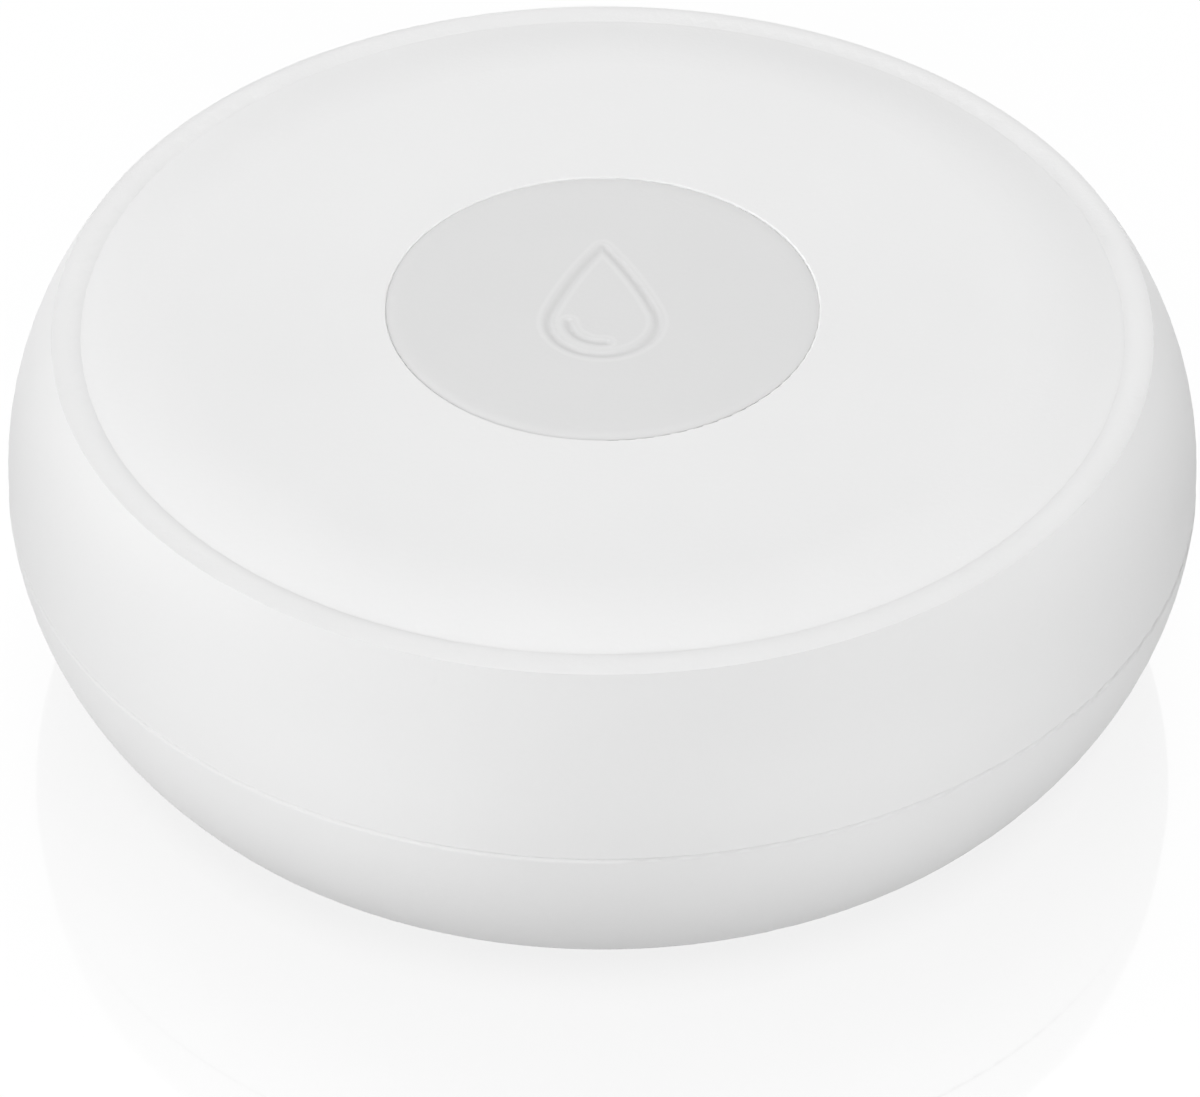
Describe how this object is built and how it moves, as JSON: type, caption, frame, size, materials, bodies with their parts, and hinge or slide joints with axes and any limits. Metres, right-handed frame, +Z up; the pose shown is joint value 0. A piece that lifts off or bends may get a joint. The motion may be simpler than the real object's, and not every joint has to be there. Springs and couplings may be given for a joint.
{
  "type": "water leak sensor",
  "caption": "Low round battery-powered water leak sensor: a barrel-shaped white case with a push button in its crowned top, metal probes under its base and a quarter-turn battery door.",
  "frame": {"origin": "centre of the surface that the sensor stands on", "axes": "+Z up through the button, +Y towards the point of the drop mark, +X to the right seen from the front"},
  "size_m": [0.05, 0.05, 0.0167],
  "materials": {
    "case_white": "fine moulded satin",
    "button_grey": "fine moulded matte",
    "seal_rubber": "moulded silicone, slightly dull",
    "pad_foam": "closed-cell foam",
    "spring_steel": "bright stamped strip",
    "cell_steel": "nickel-plated, drawn",
    "probe_steel": "turned and polished stainless",
    "contact_gold": "gold-flashed strip",
    "board_green": "solder mask",
    "radio_green": "solder mask",
    "screw_zinc": "zinc-plated",
    "shield_tin": "tin-plated, satin",
    "ceramic_ivory": "fired ceramic",
    "capacitor_tan": "moulded epoxy",
    "chip_black": "moulded, dull",
    "lens_clear": "clear moulded"
  },
  "bodies": {
    "case": {"top_shell": "case_white", "bottom_shell": "case_white", "case_seal": "seal_rubber", "probe_seals": "seal_rubber", "switch_dome": "spring_steel", "probe_retainers": "spring_steel", "coin_cell": "cell_steel", "probe_pins": "probe_steel", "cell_side_contacts": "contact_gold", "cell_spring": "contact_gold", "probe_springs": "contact_gold", "circuit_board": "board_green", "radio_board": "radio_green", "board_screws": "screw_zinc", "radio_shield": "shield_tin", "radio_antenna": "ceramic_ivory", "crystal": "shield_tin", "reservoir_capacitors": "capacitor_tan", "chip_resistors": "chip_black", "status_light": "lens_clear", "light_pipe": "lens_clear", "switch_base": "chip_black", "switch_cover": "shield_tin"},
    "button": {"button_cap": "button_grey", "button_seal": "seal_rubber", "button_clip": "spring_steel"},
    "plunger": {"switch_plunger": "chip_black"},
    "door": {"battery_door": "case_white", "door_seal": "seal_rubber", "door_pad": "pad_foam"}
  },
  "joints": [
    {"name": "button_press", "type": "slide", "parent": "case", "child": "button", "axis": [0, 0, -1], "range_m": [0, 0.00035], "stiffness_N_per_m": 2000, "springref_m": -0.0005},
    {"name": "switch_press", "type": "slide", "parent": "case", "child": "plunger", "axis": [0, 0, -1], "range_m": [0, 0.00035], "deforming": ["switch_dome"]},
    {"name": "battery_door_turn", "type": "hinge", "parent": "case", "child": "door", "pos_m": [0, 0, 0], "axis": [0, 0, -1], "range_deg": [0, 45]}
  ],
  "couplings": [
    {"joint": "switch_press", "follows": "button_press", "ratio": 1}
  ]
}
